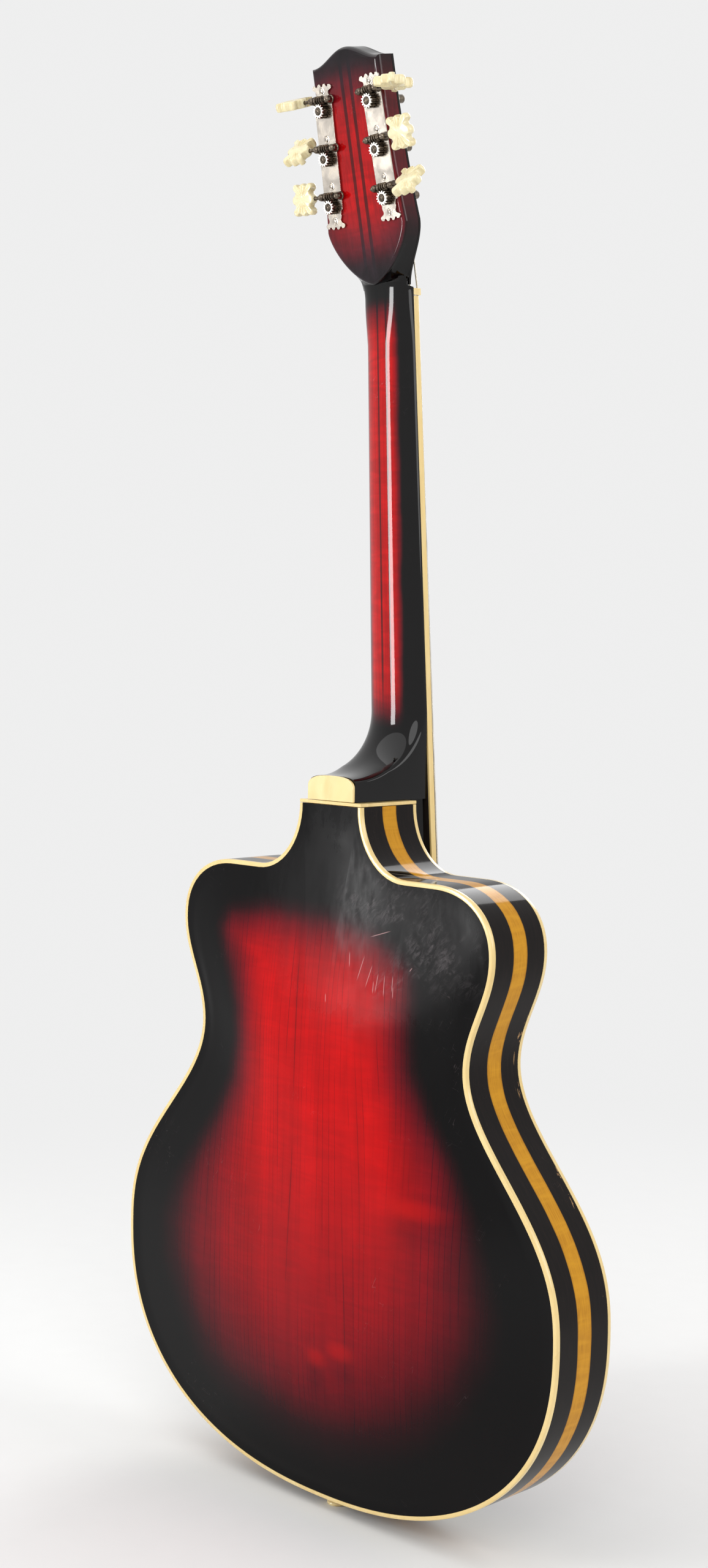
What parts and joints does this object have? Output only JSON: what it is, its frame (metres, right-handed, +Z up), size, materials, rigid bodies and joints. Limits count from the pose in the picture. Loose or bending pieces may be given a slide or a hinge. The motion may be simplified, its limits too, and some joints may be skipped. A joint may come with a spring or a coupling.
{
  "type": "jazz guitar",
  "caption": "Archtop jazz guitar with carved plates, bound edges, paired cutaways, open worm-gear tuners, floating bridge and trapeze tailpiece",
  "frame": {"origin": "centre of the end pin's flat outer face", "axes": "+Z up the neck, -Y the string side, +Y the carved back, -X the bass side"},
  "size_m": [0.43, 0.1186, 1.0306],
  "materials": {
    "burst_lacquer": "carved maple under a deep red to black burst lacquer, gloss",
    "black_lacquer": "spruce and maple under black lacquer, gloss",
    "neck_lacquer": "maple under red lacquer shaded to black, gloss",
    "ivoroid": "grained ivory-coloured celluloid, polished",
    "cream_plastic": "aged cream plastic, satin",
    "bare_spruce": "bare softwood, sawn",
    "ebonised_wood": "dark stained hardwood, oiled",
    "nickel": "nickel plate, slightly dulled",
    "aged_nickel": "nickel plate worn to brown",
    "string_steel": "plain and wound steel wire"
  },
  "bodies": {
    "guitar": {"back_plate": "burst_lacquer", "top_plate": "burst_lacquer", "rim": "black_lacquer", "back_binding": "ivoroid", "top_binding": "ivoroid", "back_lining": "bare_spruce", "top_lining": "bare_spruce", "shoulder_cap": "ivoroid", "neck_block": "bare_spruce", "end_block": "bare_spruce", "tone_bar_bass": "bare_spruce", "tone_bar_treble": "bare_spruce", "neck": "neck_lacquer", "heel_cap": "ivoroid", "head_veneer": "black_lacquer", "fretboard": "ebonised_wood", "board_binding_bass": "ivoroid", "board_binding_treble": "ivoroid", "nut": "cream_plastic", "tuner_plate_bass": "nickel", "tuner_plate_treble": "nickel", "string_1": "string_steel", "string_2": "string_steel", "string_3": "string_steel", "string_4": "string_steel", "string_5": "string_steel", "string_6": "string_steel", "bridge_base": "ebonised_wood", "bridge_stud_bass": "nickel", "bridge_stud_treble": "nickel", "tailpiece": "nickel", "tailpiece_bracket": "nickel", "end_pin": "cream_plastic"},
    "winder_1": {"worm_1": "aged_nickel", "button_1": "cream_plastic"},
    "capstan_1": {"gear_1": "nickel", "string_post_1": "aged_nickel"},
    "winder_2": {"worm_2": "aged_nickel", "button_2": "cream_plastic"},
    "capstan_2": {"gear_2": "nickel", "string_post_2": "aged_nickel"},
    "winder_3": {"worm_3": "aged_nickel", "button_3": "cream_plastic"},
    "capstan_3": {"gear_3": "nickel", "string_post_3": "aged_nickel"},
    "winder_4": {"worm_4": "aged_nickel", "button_4": "cream_plastic"},
    "capstan_4": {"gear_4": "nickel", "string_post_4": "aged_nickel"},
    "winder_5": {"worm_5": "aged_nickel", "button_5": "cream_plastic"},
    "capstan_5": {"gear_5": "nickel", "string_post_5": "aged_nickel"},
    "winder_6": {"worm_6": "aged_nickel", "button_6": "cream_plastic"},
    "capstan_6": {"gear_6": "nickel", "string_post_6": "aged_nickel"},
    "saddle": {"bridge_saddle": "ebonised_wood"},
    "wheel_bass": {"thumbwheel_bass": "nickel"},
    "wheel_treble": {"thumbwheel_treble": "nickel"}
  },
  "joints": [
    {"name": "button_1_turn", "type": "hinge", "parent": "guitar", "child": "winder_1", "pos_m": [0.02588, 0.00153, 0.93197], "axis": [0.9992, 0.0087, 0.0401], "continuous": true},
    {"name": "post_1_turn", "type": "hinge", "parent": "guitar", "child": "capstan_1", "pos_m": [0.02618, 0.00001, 0.92494], "axis": [0, 0.9774, -0.2113], "continuous": true},
    {"name": "button_2_turn", "type": "hinge", "parent": "guitar", "child": "winder_2", "pos_m": [0.02455, 0.00837, 0.96361], "axis": [0.9992, 0.0087, 0.0401], "continuous": true},
    {"name": "post_2_turn", "type": "hinge", "parent": "guitar", "child": "capstan_2", "pos_m": [0.02485, 0.00685, 0.95658], "axis": [0, 0.9774, -0.2113], "continuous": true},
    {"name": "button_3_turn", "type": "hinge", "parent": "guitar", "child": "winder_3", "pos_m": [0.02322, 0.01521, 0.99525], "axis": [0.9992, 0.0087, 0.0401], "continuous": true},
    {"name": "post_3_turn", "type": "hinge", "parent": "guitar", "child": "capstan_3", "pos_m": [0.02352, 0.01369, 0.98822], "axis": [0, 0.9774, -0.2113], "continuous": true},
    {"name": "button_4_turn", "type": "hinge", "parent": "guitar", "child": "winder_4", "pos_m": [-0.02322, 0.01521, 0.99525], "axis": [-0.9992, 0.0087, 0.0401], "continuous": true},
    {"name": "post_4_turn", "type": "hinge", "parent": "guitar", "child": "capstan_4", "pos_m": [-0.02352, 0.01369, 0.98822], "axis": [0, 0.9774, -0.2113], "continuous": true},
    {"name": "button_5_turn", "type": "hinge", "parent": "guitar", "child": "winder_5", "pos_m": [-0.02455, 0.00837, 0.96361], "axis": [-0.9992, 0.0087, 0.0401], "continuous": true},
    {"name": "post_5_turn", "type": "hinge", "parent": "guitar", "child": "capstan_5", "pos_m": [-0.02485, 0.00685, 0.95658], "axis": [0, 0.9774, -0.2113], "continuous": true},
    {"name": "button_6_turn", "type": "hinge", "parent": "guitar", "child": "winder_6", "pos_m": [-0.02588, 0.00153, 0.93197], "axis": [-0.9992, 0.0087, 0.0401], "continuous": true},
    {"name": "post_6_turn", "type": "hinge", "parent": "guitar", "child": "capstan_6", "pos_m": [-0.02618, 0.00001, 0.92494], "axis": [0, 0.9774, -0.2113], "continuous": true},
    {"name": "thumbwheel_bass_turn", "type": "hinge", "parent": "saddle", "child": "wheel_bass", "pos_m": [-0.037, -0.07339, 0.22553], "axis": [0, -1, 0], "range_deg": [-1080, 0]},
    {"name": "thumbwheel_treble_turn", "type": "hinge", "parent": "saddle", "child": "wheel_treble", "pos_m": [0.037, -0.07339, 0.22553], "axis": [0, -1, 0], "range_deg": [-1080, 0]},
    {"name": "saddle_height", "type": "slide", "parent": "guitar", "child": "saddle", "axis": [0, -1, 0], "range_m": [-0.0021, 0]}
  ],
  "couplings": [
    {"joint": "post_1_turn", "follows": "button_1_turn", "ratio": -0.071429},
    {"joint": "post_2_turn", "follows": "button_2_turn", "ratio": -0.071429},
    {"joint": "post_3_turn", "follows": "button_3_turn", "ratio": -0.071429},
    {"joint": "post_4_turn", "follows": "button_4_turn", "ratio": 0.071429},
    {"joint": "post_5_turn", "follows": "button_5_turn", "ratio": 0.071429},
    {"joint": "post_6_turn", "follows": "button_6_turn", "ratio": 0.071429},
    {"joint": "thumbwheel_bass_turn", "follows": "saddle_height", "rad_per_m": 8976},
    {"joint": "thumbwheel_treble_turn", "follows": "saddle_height", "rad_per_m": 8976}
  ]
}
